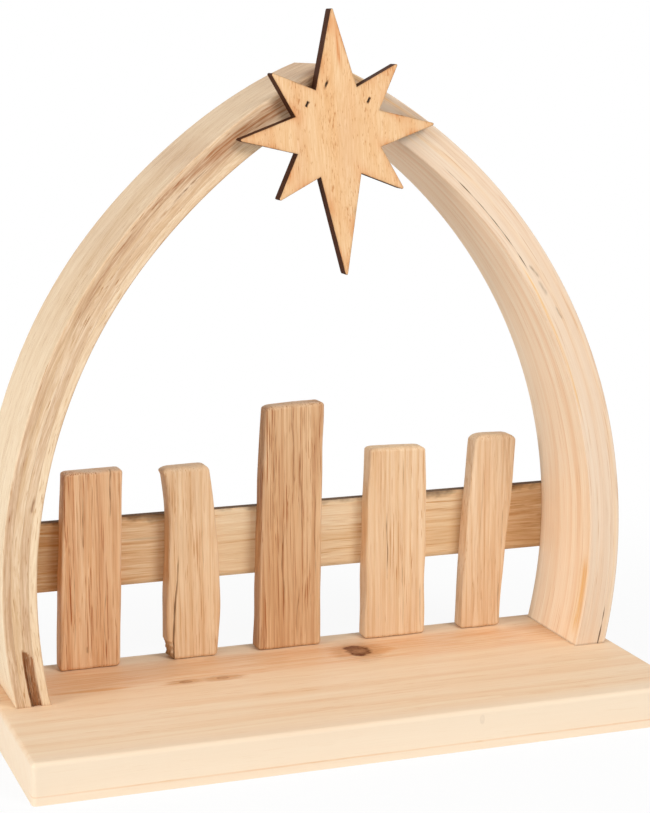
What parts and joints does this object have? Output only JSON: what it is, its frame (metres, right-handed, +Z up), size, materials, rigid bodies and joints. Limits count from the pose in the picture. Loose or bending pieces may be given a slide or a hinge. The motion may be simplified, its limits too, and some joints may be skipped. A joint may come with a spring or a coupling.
{
  "type": "nativity stable",
  "caption": "Free-standing wooden nativity stable: a pointed arch of bent laminated staves on a pine board, a plywood star at its crown and a picket fence across its back.",
  "frame": {"origin": "middle of the base board's underside", "axes": "+Z up, +X to the right along the board seen from the front, +Y from the front to the fence"},
  "size_m": [0.297, 0.126, 0.3145],
  "materials": {
    "pine_board": "planed, bare pine",
    "stave_wood": "sanded, bare pale wood",
    "star_plywood": "laser-cut plywood, burnt edges",
    "rail_plywood": "laser-cut plywood, burnt edges",
    "picket_wood": "hand-shaped, weathered",
    "steel": "bright wire"
  },
  "bodies": {
    "root": {"base_board": "pine_board", "fence_rail": "rail_plywood", "foot_screws": "steel", "left_stave_inner_ply": "stave_wood", "left_stave_outer_ply": "stave_wood", "left_stave_second_ply": "stave_wood", "left_stave_third_ply": "stave_wood", "picket_brads": "steel", "picket_far_left": "picket_wood", "picket_far_right": "picket_wood", "picket_left": "picket_wood", "picket_middle": "picket_wood", "picket_right": "picket_wood", "rail_brads": "steel", "right_stave_inner_ply": "stave_wood", "right_stave_outer_ply": "stave_wood", "right_stave_second_ply": "stave_wood", "right_stave_third_ply": "stave_wood", "star": "star_plywood", "star_brads": "steel"}
  },
  "joints": []
}
